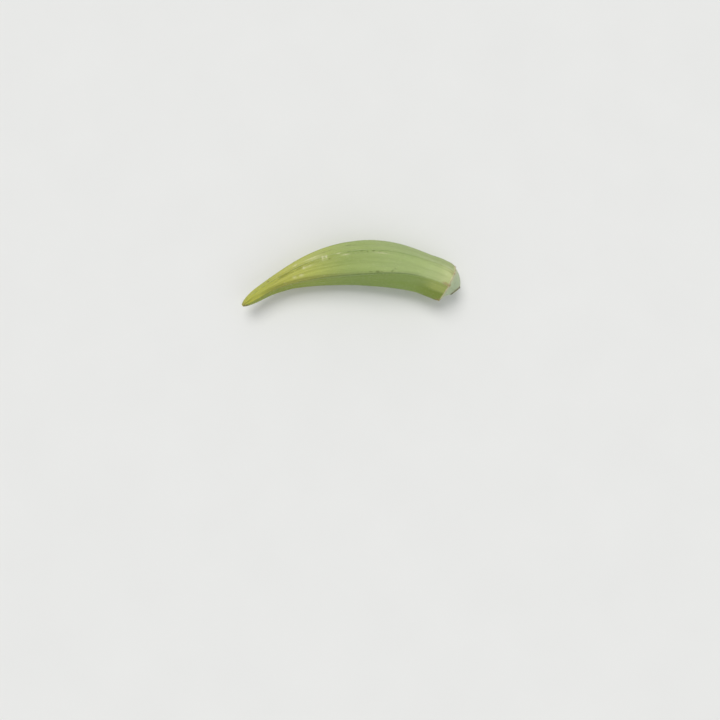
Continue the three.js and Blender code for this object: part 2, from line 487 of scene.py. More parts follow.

# %% [markdown]
# ## Marks on the skin
#
# A pod rubs against its neighbours in the crate. Pale scuffs and small brown specks stay where it was rubbed,
# mostly on the crests, and a few pale marks are painted highlights. Here and there the skin has sunk into a
# crease, whose dark line is painted shade, as the mesh has no groove there. The ring's corners are bruised. A
# mark has a place along the pod, an angle round it, a length, a width and a strength. It is stored at the
# points of the mesh, where the material reads it.

# %% Store the marks
# Pale scuffs, and painted highlights: the streak at 39.6 mm, and the spots at 44.3 and 46.2 mm with their halo.
SCUFFS_AND_HIGHLIGHTS = [
    (39.6, 39, 3.9, 0.45, 1.0),
    (40.5, 31, 3.4, 1.5, 0.35),
    (44.3, 20, 0.5, 1.3, 1.0),
    (46.2, 20, 0.5, 1.1, 1.0),
    (45.2, 20, 1.3, 1.3, 0.45),
    (30.9, 43, 0.9, 0.7, 0.9),
    (34.7, 7.5, 0.7, 0.6, 0.9),
    (28.8, -18.6, 0.8, 0.6, 0.9),
    (32.3, -20.2, 1.0, 0.6, 0.8),
    (36.6, 6.3, 2.4, 0.4, 0.5),
    (52, 20.4, 0.9, 0.4, 0.9),
    (55.2, 14.1, 1.9, 0.35, 0.7),
    (72.4, 15.9, 3, 0.35, 0.5),
    (83, 140, 5, 0.6, 0.6),
    (60, 120, 4, 0.8, 0.6),
]
SPECKS = [
    (0.2, -61, 0.7, 0.9, 1.0),
    (1.4, -65, 0.8, 0.7, 0.9),
    (16.2, 44.3, 0.7, 0.6, 1.0),
    (20.6, 62.6, 0.6, 0.5, 0.8),
    (88, 100, 0.5, 0.4, 0.8),
    (36, 155, 0.7, 0.4, 0.9),
    (74, 208, 0.8, 0.3, 0.8),
]
# Dark lines of painted shade, where the skin is creased but the mesh has no groove.
CREASE_SHADES = [
    (15.2, -8.5, 1.4, 0.3, 0.5),
    (17.4, -3, 1.5, 0.3, 0.6),
    (19.5, 2.4, 1.5, 0.32, 0.7),
    (21.5, 8, 1.5, 0.34, 0.8),
    (23.4, 12.7, 1.9, 0.42, 1.0),
    (25.8, 14, 2.2, 0.42, 1.0),
    (28.4, 11, 1.6, 0.34, 0.8),
    (32.4, 12.2, 3.4, 0.3, 0.7),
    (38.4, 13.8, 3.4, 0.28, 0.6),
    (47.5, 11, 0.9, 0.5, 0.8),
    (56.9, 21, 1.2, 0.4, 0.7),
    (62.8, 18.8, 0.7, 0.42, 0.8),
    (65.5, 17.3, 0.6, 0.42, 0.75),
    (68.3, 19.2, 0.8, 0.5, 0.85),
    (71.2, 18.3, 0.9, 0.38, 0.7),
    (74.2, 18.5, 0.6, 0.36, 0.55),
    (45.6, 49.8, 1.6, 0.5, 0.8),
    (48.3, 50, 1.5, 0.5, 0.8),
    (56.8, 57, 1.8, 0.55, 0.8),
    (59.4, 53.2, 1.6, 0.5, 0.7),
    (19.2, -32.4, 2.2, 0.5, 1.0),
    (21.8, -31, 1.6, 0.4, 0.8),
    (24.5, -45, 3, 0.35, 0.7),
    (28.4, -51.8, 2, 0.55, 1.0),
    (71.2, -33.2, 1.2, 0.6, 1.0),
    (73.2, -31.8, 0.8, 0.4, 0.7),
    (67.5, -34.5, 1.2, 0.36, 0.7),
    (78.4, -27.4, 0.6, 0.55, 0.85),
    (79, -24.4, 0.45, 0.5, 0.7),
    (79.8, -19.7, 0.55, 0.55, 0.7),
    (41, 82, 5, 0.3, 0.6),
    (52, 149, 4, 0.3, 0.8),
    (33, 208, 5, 0.3, 0.7),
    (84, 270, 4, 0.3, 0.7),
]
BRUISES = [
    (104.9, -14.5, 1.6, 0.8, 0.9),
    (106.8, -12.5, 0.6, 0.8, 1.0),
    (105.6, 90, 1.2, 1.0, 0.9),
    (105.2, 152, 1.5, 0.9, 0.9),
    (105.5, 211, 1.1, 1.2, 0.9),
    (105.4, 274, 1.5, 1.2, 1.0),
]


def marks(places, along, angle, radius):
    """The strongest of the marks at each point."""
    total = np.zeros_like(along)
    for mark_along, mark_angle, length, width, strength in places:
        turned = np.mod(angle - math.radians(mark_angle) + math.pi, 2 * math.pi) - math.pi
        away = np.hypot((along - mark_along) / length, turned * radius / width)
        total = np.maximum(total, strength * bump(away, 1))
    return total


pod_rod = pod_details["rod"]
pod_angle = np.arctan2(pod_rod[:, 1], pod_rod[:, 0])
pod_along = pod_rod[:, 2]
pod_radius = outline(pod_along)[0]
for mark_name, places in [("scuff", SCUFFS_AND_HIGHLIGHTS), ("speck", SPECKS), ("crease", CREASE_SHADES), ("bruise", BRUISES)]:
    write_detail(pod_mesh, mark_name, marks(places, pod_along, pod_angle, pod_radius))
    print(len(places), "places with a", mark_name)

# %% [markdown]
# ## Shader maths in plain Python
#
# A material is a web of nodes. Written as nodes, a sum takes four lines, so one small class wraps a socket
# and lets Python's own operators add the Math nodes. Every other node comes from one method.

# %% A class for sockets and one for what holds nodes
class Value:
    """What comes out of a socket. Sums and products of it add Math nodes."""

    def __init__(self, finish, socket):
        self.finish = finish
        self.socket = socket

    def __add__(self, other):
        return self.finish.maths("ADD", self, other)

    def __radd__(self, other):
        return self.finish.maths("ADD", other, self)

    def __sub__(self, other):
        return self.finish.maths("SUBTRACT", self, other)

    def __rsub__(self, other):
        return self.finish.maths("SUBTRACT", other, self)

    def __mul__(self, other):
        return self.finish.maths("MULTIPLY", self, other)

    def __rmul__(self, other):
        return self.finish.maths("MULTIPLY", other, self)

    def __truediv__(self, other):
        return self.finish.maths("DIVIDE", self, other)

    def __rtruediv__(self, other):
        return self.finish.maths("DIVIDE", other, self)


class Finish:
    """The nodes of a material or a world, which are added by calls."""

    def __init__(self, owner):
        self.owner = owner
        self.owner.use_nodes = True
        self.nodes = owner.node_tree.nodes
        self.links = owner.node_tree.links
        self.nodes.clear()

    def add(self, kind, settings=None, sockets=None, output=0):
        """Adds a node: its settings first, then the values or links of its sockets. Returns one output."""
        node = self.nodes.new(kind)
        for name, setting in (settings or {}).items():
            if name == "stops":
                set_stops(node.color_ramp, setting)
            else:
                setattr(node, name, setting)
        for name, value in (sockets or {}).items():
            if isinstance(value, Value):
                self.links.new(value.socket, node.inputs[name])
            else:
                node.inputs[name].default_value = value
        return Value(self, node.outputs[output])

    def maths(self, operation, first, second=0.0):
        return self.add("ShaderNodeMath", {"operation": operation}, {0: first, 1: second})

    def end(self, shader, kind="ShaderNodeOutputMaterial"):
        """Links the shader to the output, and returns the material or the world."""
        output = self.nodes.new(kind)
        self.links.new(shader.socket, output.inputs["Surface"])
        return self.owner


def set_stops(ramp, stops):
    while len(ramp.elements) < len(stops):
        ramp.elements.new(1)
    for element, (position, colour) in zip(ramp.elements, stops):
        element.position = position
        element.color = (*colour, 1)


# %% [markdown]
# A few short functions name the nodes that every finish here uses: a soft step, a band, noise whose lumps
# have a size in millimetres, and a mix of two colours.

# %% Helpers for finishes
def step(value, low, high):
    sockets = {"Value": value, "From Min": low, "From Max": high}
    return value.finish.add("ShaderNodeMapRange", {"interpolation_type": "SMOOTHSTEP"}, sockets)


def band(value, middle, width):
    """1 where the value is at the middle, and 0 beyond the width on both sides."""
    off = value.finish.maths("ABSOLUTE", value - middle)
    return 1 - step(off, 0, width)


def detail(finish, name, output="Fac"):
    return finish.add("ShaderNodeAttribute", {"attribute_name": name}, output=output)


def in_millimetres(finish):
    place = finish.add("ShaderNodeTexCoord", output="Object")
    return finish.add("ShaderNodeVectorMath", {"operation": "SCALE"}, {0: place, "Scale": 1 / MM})


def stretched(place, size):
    """The place measured in lumps that have that size along each axis."""
    shares = tuple(1 / part for part in size)
    return place.finish.add("ShaderNodeVectorMath", {"operation": "MULTIPLY"}, {0: place, 1: shares})


def grain(place, size, roughness=0.5, octaves=2.0, shift=0.0):
    """Noise from 0 to 1 with lumps of that size."""
    moved = place.finish.add("ShaderNodeVectorMath", {"operation": "ADD"}, {0: place, 1: (shift,) * 3})
    sockets = {"Vector": moved, "Scale": 1 / size, "Detail": octaves, "Roughness": roughness}
    return place.finish.add("ShaderNodeTexNoise", sockets=sockets)


def mix(factor, first, second):
    """Mixes two colours. A colour is three numbers or what comes out of a socket."""
    settings = {"data_type": "RGBA", "blend_type": "MIX", "clamp_factor": True}
    colours = [colour if isinstance(colour, Value) else (*colour, 1) for colour in (first, second)]
    return factor.finish.add("ShaderNodeMix", settings, {0: factor, 6: colours[0], 7: colours[1]}, output=2)


def brighten(colour, amount):
    """The colour times a number that varies over the surface."""
    return colour.finish.add("ShaderNodeVectorMath", {"operation": "SCALE"}, {0: colour, "Scale": amount})


def surface(finish, constants, varying, height=None, relief=0.0):
    """Ends a material in a Principled shader, with a Bump node if there is a height in millimetres."""
    sockets = dict(varying)
    if height is not None:
        bump_sockets = {"Height": height, "Distance": relief * MM, "Strength": 1.0}
        sockets["Normal"] = finish.add("ShaderNodeBump", sockets=bump_sockets)
    return finish.end(finish.add("ShaderNodeBsdfPrincipled", sockets={**constants, **sockets}))


# %% [markdown]
# ## The skin
#
# The green isn't one green. It is yellow at the beak, fresh in the middle, greyer towards the stem, and cream
# just before the ring, most on top, where the extra cream is a painted highlight. The side that lay away from
# the light gets painted shade, and the crest above it a darker painted shade. Colour follows the relief too:
# veins and grooves are darker, and the crests are rubbed brown in places. It could be painted on an image, but
# noise and steps on measured distances stay sharp at any size.

# %% Skin colours
SKIN_ALONG = [
    (0.0, (0.38, 0.36, 0.06)),
    (0.02, (0.42, 0.42, 0.055)),
    (0.1, (0.41, 0.42, 0.06)),
    (0.22, (0.44, 0.44, 0.08)),
    (0.33, (0.41, 0.44, 0.095)),
    (0.5, (0.32, 0.4, 0.115)),
    (0.75, (0.34, 0.43, 0.155)),
    (0.9, (0.38, 0.46, 0.18)),
]
CREAM_AND_HIGHLIGHT_GREEN = (0.52, 0.57, 0.265)
DEEP_GREEN = (0.17, 0.26, 0.02)
OLIVE_GREEN = (0.17, 0.22, 0.01)
PALE_OLIVE = (0.37, 0.43, 0.1)
VEIN_GREEN = (0.15, 0.23, 0.05)
BEAK_LINE_GREEN = (0.25, 0.26, 0.03)
CREASE_SHADE_GREEN = (0.13, 0.17, 0.03)
CREST_BROWN = (0.2, 0.15, 0.05)
BRUISE = (0.31, 0.235, 0.085)
PALE_SCUFF_AND_HIGHLIGHT = (0.74, 0.72, 0.45)
CAP_GREEN = (0.34, 0.44, 0.27)
CAP_PALE = (0.49, 0.55, 0.36)
CAP_TAN = (0.46, 0.42, 0.22)
RING_CREAM = (0.62, 0.58, 0.36)
RING_BROWN = (0.25, 0.16, 0.07)
CUT_EDGE_BROWN = (0.085, 0.06, 0.035)

# Where colours come in or fade along the pod, in millimetres from its tip or, past the body, from the ring.
BEAK_FADES = (30, 62)
CAP_SIDE = (74, 98)
OLIVE_COMES = (88, 102)
PALE_OLIVE_COMES = (94, 102)
CREAM_AND_HIGHLIGHT_COMES = (97, 105)
BRUISES_COME = (102.8, 105.4)
CAP_COMES = (-0.1, 0.5)
CREAM_FADES_ON_CAP = (0.2, 1.7)
TAN_COMES_ON_CAP = (4.2, 5.8)
DRIED_EDGE_COMES = (5.15, 5.5)
CREST_LINE_WIDTH = 0.36
DARK_CREST_SHADE = 0.42
SKIN_BUMP = 0.06

# %% [markdown]
# The patterns on the skin read the same few values: the place on the rod and on the pod, the distance from
# the nearest crest, and some noises. They are made once and handed on together, so that one patch shows in
# every colour that it crosses.

# %% Values that the skin's patterns share
def skin_values(finish):
    rod = detail(finish, "rod", "Vector")
    place = in_millimetres(finish)
    along = finish.add("ShaderNodeSeparateXYZ", sockets={"Vector": rod}, output="Z")
    return SimpleNamespace(
        finish=finish,
        rod=rod,
        place=place,
        top=finish.add("ShaderNodeSeparateXYZ", sockets={"Vector": rod}, output="X"),
        around=finish.add("ShaderNodeSeparateXYZ", sockets={"Vector": rod}, output="Y"),
        along=along,
        past=along - SCAR_AT,
        crest=detail(finish, "crest"),
        ring=detail(finish, "ring"),
        streaks=grain(stretched(rod, (0.8, 0.8, 24)), 1, 0.6, 3),
        bands=grain(stretched(rod, (2.4, 2.4, 55)), 1, 0.5, 1, 9),
        mottle=grain(place, 3.5, 0.6, 3),
        fine_mottle=grain(stretched(rod, (0.6, 0.6, 1.1)), 1, 0.6, 2, 15),
        patches=grain(place, 14, 0.5, 1, 4),
        flecks=step(grain(place, 0.7, 0.7, 3, 21), 0.42, 0.58),
        near_beak=1 - step(along, *BEAK_FADES),
        towards_cap=step(along, *CAP_SIDE),
    )


# %% Greens of the body
def body_greens(skin):
    colour = skin.finish.add("ShaderNodeValToRGB", {"stops": SKIN_ALONG}, {0: skin.along / CUT_AT})
    # Cream before the ring all round, and more on top, where the extra is a painted highlight.
    cream_and_highlight = step(skin.along, *CREAM_AND_HIGHLIGHT_COMES) * (0.35 + 0.65 * step(skin.top, 6.2, 8.4))
    colour = mix(cream_and_highlight * 0.75, colour, CREAM_AND_HIGHLIGHT_GREEN)
    # Painted shade on the face away from the light: deep green, olive near the ring, paler under its crest.
    in_shade = detail(skin.finish, "shaded")
    colour = mix(in_shade * (0.56 + 0.3 * skin.bands), colour, DEEP_GREEN)
    colour = mix(in_shade * step(skin.along, *OLIVE_COMES) * 0.6, colour, OLIVE_GREEN)
    under_crest = step(in_shade, 0.1, 0.4) * (1 - step(in_shade, 0.72, 1.0))
    colour = mix(under_crest * step(skin.along, *PALE_OLIVE_COMES) * 0.88, colour, PALE_OLIVE)
    # The outer side is darker from 55 to 90 mm along: painted shade.
    outer_side = step(skin.around, 4.5, 8) * step(skin.along, 55, 90)
    shade = 0.74 - 0.13 * outer_side + (0.1 + 0.16 * skin.near_beak) * skin.streaks
    shade = shade + 0.2 * skin.bands + 0.08 * skin.mottle + 0.16 * skin.fine_mottle
    # The crest above the shaded face gets a darker painted shade.
    colour = brighten(colour, shade * (1 - DARK_CREST_SHADE * detail(skin.finish, "dark_crest")))
    return mix(step(skin.patches, 0.5, 0.75) * 0.14, colour, DEEP_GREEN)


# %% [markdown]
# Thin green lines run along the crests, beside them and down the middle of each face. Most are strongest near
# the beak. Noise breaks them up, because an even line would look drawn. The dark creases are painted shade.

# %% Lines on the body
def with_lines(skin, colour):
    near_beak = skin.near_beak
    line_green = mix(near_beak, VEIN_GREEN, BEAK_LINE_GREEN)
    colour = mix(detail(skin.finish, "vein") * (0.1 + 0.25 * near_beak), colour, line_green)
    broken = step(grain(stretched(skin.rod, (2, 2, 9)), 1, 0.5, 2, 2), 0.35, 0.6)
    starts_late = 1 - (1 - step(skin.along, 12, 26)) * step(skin.around, -3, 0)
    crest_line = band(skin.crest, 0, 0.45) * (0.3 + 0.4 * broken) * (1 - 0.6 * skin.towards_cap) * starts_late
    colour = mix(crest_line, colour, line_green)
    side_line = band(skin.crest, 1.1, 0.4) * (0.06 + 0.2 * broken + 0.3 * near_beak * broken)
    colour = mix(side_line, colour, line_green)
    face_line = band(detail(skin.finish, "face"), 0, 0.4) * (0.06 + 0.3 * near_beak)
    colour = mix(face_line, colour, line_green)
    dashes = step(grain(stretched(skin.rod, (1.4, 1.4, 2.4)), 1, 0.5, 1, 26), 0.5, 0.56)
    dashes = dashes * band(skin.crest, 0, CREST_LINE_WIDTH)
    colour = mix(dashes * 0.5 * (1 - skin.towards_cap), colour, VEIN_GREEN)
    # The creases: dark lines of painted shade.
    crease_shade_green = mix(near_beak, CREASE_SHADE_GREEN, BEAK_LINE_GREEN)
    return mix(step(detail(skin.finish, "crease"), 0.15, 0.8) * 0.75, colour, crease_shade_green)


# %% [markdown]
# Handling leaves brown along the crests, pale scuffs, freckles and specks, and a few pale marks are painted
# highlights. The few large ones are the marks that are stored on the mesh, and the many small ones are noise
# with only its highest peaks kept.

# %% Marks on the body
def with_marks(skin, colour):
    rubbed = step(grain(stretched(skin.rod, (1.1, 1.1, 2.2)), 1, 0.6, 2, 6), 0.62, 0.7)
    rubbed = rubbed * band(skin.crest, 0, CREST_LINE_WIDTH) * step(skin.along, 12, 20)
    colour = mix(rubbed * 0.7, colour, CREST_BROWN)
    # Pale scuffs, and among them a few painted highlights.
    scuff_and_highlight_break = step(grain(skin.place, 0.7, 0.7, 3, 3), 0.35, 0.6)
    colour = mix(detail(skin.finish, "scuff") * (0.35 + 0.65 * scuff_and_highlight_break), colour, PALE_SCUFF_AND_HIGHLIGHT)
    freckles = step(grain(skin.place, 0.6, 0.5, 1, 12), 0.7, 0.76)
    colour = mix(freckles * 0.4, colour, PALE_SCUFF_AND_HIGHLIGHT)
    specks = step(grain(stretched(skin.rod, (0.32, 0.32, 0.6)), 1, 0.5, 1, 17), 0.75, 0.79)
    colour = mix(specks * 0.65, colour, CREST_BROWN)
    colour = mix(step(detail(skin.finish, "speck"), 0.35, 0.7) * 0.85, colour, CREST_BROWN)
    tip_spots = step(grain(skin.place, 0.45, 0.6, 2, 30), 0.53, 0.62) * (1 - step(skin.along, 0.2, 3.0))
    colour = mix(tip_spots * 0.8, colour, CREST_BROWN)
    bruised = step(grain(skin.place, 0.8, 0.75, 4, 33), 0.42, 0.52) * band(skin.crest, 0, 2.6)
    bruised = bruised * step(skin.along, *BRUISES_COME)
    bruised = bruised * (0.25 + 0.75 * step(grain(skin.place, 7, 0.5, 1, 36), 0.38, 0.6))
    return mix(bruised * 0.85, colour, BRUISE)


# %% [markdown]
# The cap is paler and bluer than the body, with fine lines that run to the cut, whose edge has dried dark
# brown. The ring is cream with brown flecks where the tissue tore, most of them at the crests.

# %% Cap and ring
def with_cap(skin, colour):
    radial = grain(stretched(skin.rod, (0.7, 0.7, 6)), 1, 0.6, 3, 5)
    cap_colour = mix(0.25 + 0.5 * step(radial, 0.25, 0.75), CAP_GREEN, CAP_PALE)
    cap_colour = brighten(cap_colour, 0.84 + 0.22 * skin.mottle + 0.14 * skin.fine_mottle)
    cap_colour = mix((1 - step(skin.past, *CREAM_FADES_ON_CAP)) * 0.5, cap_colour, RING_CREAM)
    tan = step(skin.past, *TAN_COMES_ON_CAP) * 0.4 + step(skin.patches, 0.45, 0.7) * 0.2
    cap_colour = mix(tan, cap_colour, CAP_TAN)
    colour = mix(step(skin.past, *CAP_COMES), colour, cap_colour)
    return mix(detail(skin.finish, "bract") * 0.45, colour, BRUISE)


def with_ring(skin, colour):
    torn = (0.35 + 0.4 * band(skin.crest, 0, 2.2)) * skin.flecks
    ring_colour = mix(torn, RING_CREAM, RING_BROWN)
    colour = mix(step(skin.ring, 0.2, 0.6), colour, ring_colour)
    bruised = step(detail(skin.finish, "bruise"), 0.1, 0.7) * (0.45 + 0.4 * skin.flecks)
    colour = mix(bruised, colour, BRUISE)
    dried = 0.7 + 0.3 * step(grain(skin.place, 1.6, 0.5, 1, 40), 0.42, 0.55)
    return mix(step(skin.past, *DRIED_EDGE_COMES) * dried, colour, CUT_EDGE_BROWN)


# %% Put the skin together
def skin_finish():
    skin = skin_values(Finish(bpy.data.materials.new("okra skin")))
    colour = body_greens(skin)
    for add_pattern in (with_lines, with_marks, with_cap, with_ring):
        colour = add_pattern(skin, colour)
    rough = 0.38 + 0.16 * skin.mottle + 0.12 * skin.streaks + 0.3 * step(skin.ring, 0.1, 0.5)
    cells = grain(skin.place, 0.16, 0.5, 2, 1)
    height = 0.45 * cells + 0.5 * skin.streaks + 0.25 * skin.mottle + 0.5 * skin.flecks * skin.ring
    constants = {
        "Specular IOR Level": 0.42,
        "Subsurface Weight": 0.12,
        "Subsurface Radius": (0.8, 1.0, 0.35),
        "Subsurface Scale": 1.2 * MM,
        "Sheen Weight": 0.05,
        "Sheen Roughness": 0.5,
    }
    varying = {"Base Color": colour, "Roughness": rough}
    return surface(skin.finish, constants, varying, height, SKIN_BUMP)


okra_skin = skin_finish()
print("the skin has", len(okra_skin.node_tree.nodes), "nodes")

# %% [markdown]
# The cut face is another tissue, so it is another material on the same mesh. Its middle is pale pith, a ring
# of fibres stands round that, and its edge has dried brown.

# %% Finish of the cut face
PITH_COLOUR = (0.46, 0.5, 0.22)
FIBRE_COLOUR = (0.36, 0.42, 0.13)
RIND_COLOUR = (0.5, 0.54, 0.24)
DRIED_BROWN = (0.2, 0.13, 0.05)
CUT_FACE_SHARE = 0.99  # the skin's points have the full radius, and the cut face's have less than this share


def cut_finish():
    finish = Finish(bpy.data.materials.new("cut stem"))
    place = in_millimetres(finish)
    share = detail(finish, "share")
    rod = detail(finish, "rod", "Vector")
    uneven = 0.2 * (grain(place, 1.1, 0.6, 3) - 0.5) + 0.1 * (grain(place, 0.35, 0.6, 2, 5) - 0.5)
    reach = share + uneven
    rays = grain(stretched(rod, (0.9, 0.9, 50)), 1, 0.7, 3, 8)
    pores = step(grain(place, 0.16, 0.5, 1, 3), 0.6, 0.72)
    stained = step(grain(place, 1.3, 0.5, 2, 11), 0.4, 0.62)
    colour = mix(step(reach, PITH - 0.12, PITH + 0.12), PITH_COLOUR, FIBRE_COLOUR)
    colour = mix(step(reach, FIBRE_RING, FIBRE_RING + 0.16), colour, RIND_COLOUR)
    colour = brighten(colour, 0.75 + 0.5 * rays)
    colour = mix(pores * (1 - step(reach, FIBRE_RING, 0.9)) * 0.4, colour, DRIED_BROWN)
    colour = mix(stained * 0.25, colour, DRIED_BROWN)
    colour = mix(step(reach, 0.88, 0.98) * (0.3 + 0.6 * stained), colour, DRIED_BROWN)
    height = 0.8 * rays - pores + 0.5 * grain(place, 0.12, 0.6, 2, 6)
    constants = {"Specular IOR Level": 0.35}
    return surface(finish, constants, {"Base Color": colour, "Roughness": 0.55 + 0.25 * rays}, height, 0.08)


pod_mesh.materials.append(okra_skin)
pod_mesh.materials.append(cut_finish())
corner_share = pod_details["share"]
for polygon in pod_mesh.polygons:
    on_cut = max(corner_share[corner] for corner in polygon.vertices) < CUT_FACE_SHARE
    polygon.material_index = 1 if on_cut and polygon.center.x > 0 else 0

pod = bpy.data.objects.new("ridged_pod", pod_mesh)
bpy.context.scene.collection.objects.link(pod)
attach(pod, "root")
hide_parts("okra_pod")

# %% [markdown]
# ## The fuzz
#
# Okra is covered in short stiff hairs, thickest on the crests. Blender has hair curves, but they are lost
# when the model is exported, so each hair is a real one: a three-sided spike of four triangles. An Array
# modifier makes the copies, and then one formula stands each copy on its own place on the skin.
#
# Blender may list a spun mesh's faces in another order each time. They are sorted before places are drawn on
# them, so that the same seed always gives the same fuzz.

# %% Choose places on a mesh
def sorted_triangles(mesh):
    """The mesh's faces, cut into triangles, in an order that is the same each time."""
    triangles = []
    for polygon in mesh.polygons:
        corners = list(polygon.vertices)
        first = corners.index(min(corners))
        corners = corners[first:] + corners[:first]
        triangles += [(corners[0], *pair) for pair in zip(corners[1:], corners[2:])]
    return np.array(sorted(triangles))


def scatter(mesh, count, wanted, seed):
    """Random places on a mesh, and the directions straight out of it there. The function wanted says how
    thickly each triangle is covered."""
    draw = np.random.default_rng(seed)
    corners = sorted_triangles(mesh)
    points = read_points(mesh)
    a, b, c = (points[corners[:, side]] for side in range(3))
    facing = np.cross(b - a, c - a)
    area = np.linalg.norm(facing, axis=1)
    weight = area * wanted(corners)
    picked = draw.choice(len(corners), count, p=weight / weight.sum())
    first, second = draw.random((2, count, 1))
    flip = first + second > 1
    first, second = np.where(flip, 1 - first, first), np.where(flip, 1 - second, second)
    places = a[picked] + first * (b - a)[picked] + second * (c - a)[picked]
    outwards = facing[picked] / np.maximum(area[picked], 1e-20)[:, None]
    return places, outwards


def unit(vectors):
    return vectors / np.linalg.norm(vectors, axis=1, keepdims=True)


# %% Stand copies of a small shape on those places
def small_mesh(name, build):
    shape = bmesh.new()
    build(shape)
    mesh = bpy.data.meshes.new(name)
    shape.to_mesh(mesh)
    shape.free()
    return mesh


def spike(shape):
    """A closed three-sided spike, 1 high and 1 in radius at its root."""
    bmesh.ops.create_cone(shape, cap_ends=True, segments=3, radius1=1, radius2=0, depth=1)
    bmesh.ops.translate(shape, verts=shape.verts, vec=(0, 0, 0.5))
    bmesh.ops.recalc_face_normals(shape, faces=shape.faces)


def copies(name, shape_mesh, count):
    """One mesh that holds that many copies of the shape, all in the same place."""
    source = bpy.data.objects.new(name, shape_mesh)
    bpy.context.scene.collection.objects.link(source)
    row = source.modifiers.new("copies", "ARRAY")
    row.count = count
    row.use_relative_offset = False
    graph = bpy.context.evaluated_depsgraph_get()
    mesh = bpy.data.meshes.new_from_object(source.evaluated_get(graph))
    bpy.data.objects.remove(source)
    mesh.name = name
    return mesh


def stand_copies(mesh, count, roots, directions, lengths, widths, thicknesses, seed):
    """Turns each copy so that its height follows its direction, scales it and moves it to its root."""
    draw = np.random.default_rng(seed)
    local = read_points(mesh).reshape(count, -1, 3)
    up = unit(directions)
    side = unit(np.cross(up, draw.normal(size=(count, 3))))
    other = np.cross(up, side)
    moved = roots[:, None] + local[:, :, 2:] * (up * lengths[:, None])[:, None]
    moved = moved + local[:, :, 0:1] * (side * widths[:, None])[:, None]
    moved = moved + local[:, :, 1:2] * (other * thicknesses[:, None])[:, None]
    write_detail(mesh, "tip", local[:, :, 2].ravel())
    write_points(mesh, moved.reshape(-1, 3))


# %% [markdown]
# The hairs lean a little towards the beak, and no two are the same length. None stands where the pod is
# pressed on the floor.

# %% Make the fuzz
HAIRS = 38000
HAIR_LENGTH = (0.22, 0.6)
HAIR_RADIUS = 0.013
HAIR_SUNK = 0.05
HAIR_SPREAD = 0.33
HAIR_LEAN = np.array([-0.25, 0, 0])
HAIRLESS = {"below": 0.9, "near_ring": 0.5}


def fuzz_wanted(corners):
    crest = pod_details["crest"][corners].mean(axis=1)
    along = pod_along[corners].mean(axis=1)
    share = pod_details["share"][corners].min(axis=1)
    low = pod_points[corners, 2].mean(axis=1) < HAIRLESS["below"]
    bare = (share < CUT_FACE_SHARE) | low | (np.abs(along - SCAR_AT) < HAIRLESS["near_ring"])
    return np.where(bare, 0, 0.55 + 1.6 * bump(crest, 0.9))


hair_draw = np.random.default_rng(11)
roots, outwards = scatter(pod_mesh, HAIRS, fuzz_wanted, 10)
lean = hair_draw.normal(scale=HAIR_SPREAD, size=(HAIRS, 3)) + HAIR_LEAN
lengths = hair_draw.uniform(*HAIR_LENGTH, HAIRS) * MM
radii = np.full(HAIRS, HAIR_RADIUS * MM)
fuzz_mesh = copies("fuzz", small_mesh("hair", spike), HAIRS)
stand_copies(fuzz_mesh, HAIRS, roots - outwards * HAIR_SUNK * MM, outwards + lean, lengths, radii, radii, 12)
print("the fuzz has", len(fuzz_mesh.polygons), "faces")

# %% Finish of the fuzz
HAIR_ROOT = (0.42, 0.5, 0.22)
HAIR_TIP = (0.78, 0.78, 0.6)


def fuzz_finish():
    finish = Finish(bpy.data.materials.new("fuzz"))
    tip = detail(finish, "tip")
    place = in_millimetres(finish)
    colour = mix(tip, HAIR_ROOT, HAIR_TIP)
    colour = brighten(colour, 0.75 + 0.5 * grain(place, 4, 0.5, 2))
    return surface(finish, {"Specular IOR Level": 0.3}, {"Base Color": colour, "Roughness": 0.5 + 0.2 * tip})


fuzz_mesh.materials.append(fuzz_finish())
fuzz = bpy.data.objects.new("fuzz", fuzz_mesh)
bpy.context.scene.collection.objects.link(fuzz)
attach(fuzz, "root")

# %% [markdown]
# ## Shreds of the calyx
#
# The calyx tears off and leaves dry shreds along the ring, most of them at the crests. They are thin blades,
# made in the way of the hairs: one spike, copied, made flat and stood on the ring.

# %% Make the shreds
SHREDS = 110
SHRED_LENGTH = (0.2, 0.6)
SHRED_WIDTH = (0.06, 0.2)
SHRED_FLATNESS = 0.25
SHRED_SUNK = 0.08
SHRED_SPREAD = 0.45
SHREDLESS_BELOW = 0.8
STEMWARDS = np.array([[1.0, -0.45, 0.0]])
shred_draw = np.random.default_rng(21)


def shreds_wanted(corners):
    ring = pod_details["ring"][corners].mean(axis=1)
    crest = pod_details["crest"][corners].mean(axis=1)
    low = pod_points[corners, 2].mean(axis=1) < SHREDLESS_BELOW
    return np.where(low, 0, np.maximum(ring - 0.5, 0) * (0.3 + 2 * bump(crest, 2)))


shred_roots, shred_out = scatter(pod_mesh, SHREDS, shreds_wanted, 20)
stemwards = unit(STEMWARDS) + shred_draw.normal(scale=SHRED_SPREAD, size=(SHREDS, 3))
shred_lengths = shred_draw.uniform(*SHRED_LENGTH, SHREDS) * MM
shred_widths = shred_draw.uniform(*SHRED_WIDTH, SHREDS) * MM
shred_mesh = copies("calyx_shreds", small_mesh("shred", spike), SHREDS)
stand_copies(
    shred_mesh, SHREDS, shred_roots - shred_out * SHRED_SUNK * MM, 0.5 * shred_out + 0.8 * stemwards,
    shred_lengths, shred_widths, shred_widths * SHRED_FLATNESS, 22,
)
print("the ring has", SHREDS, "shreds")

# %% Finish of the shreds
SHRED_DARK = (0.2, 0.11, 0.05)
SHRED_PALE = (0.58, 0.5, 0.32)


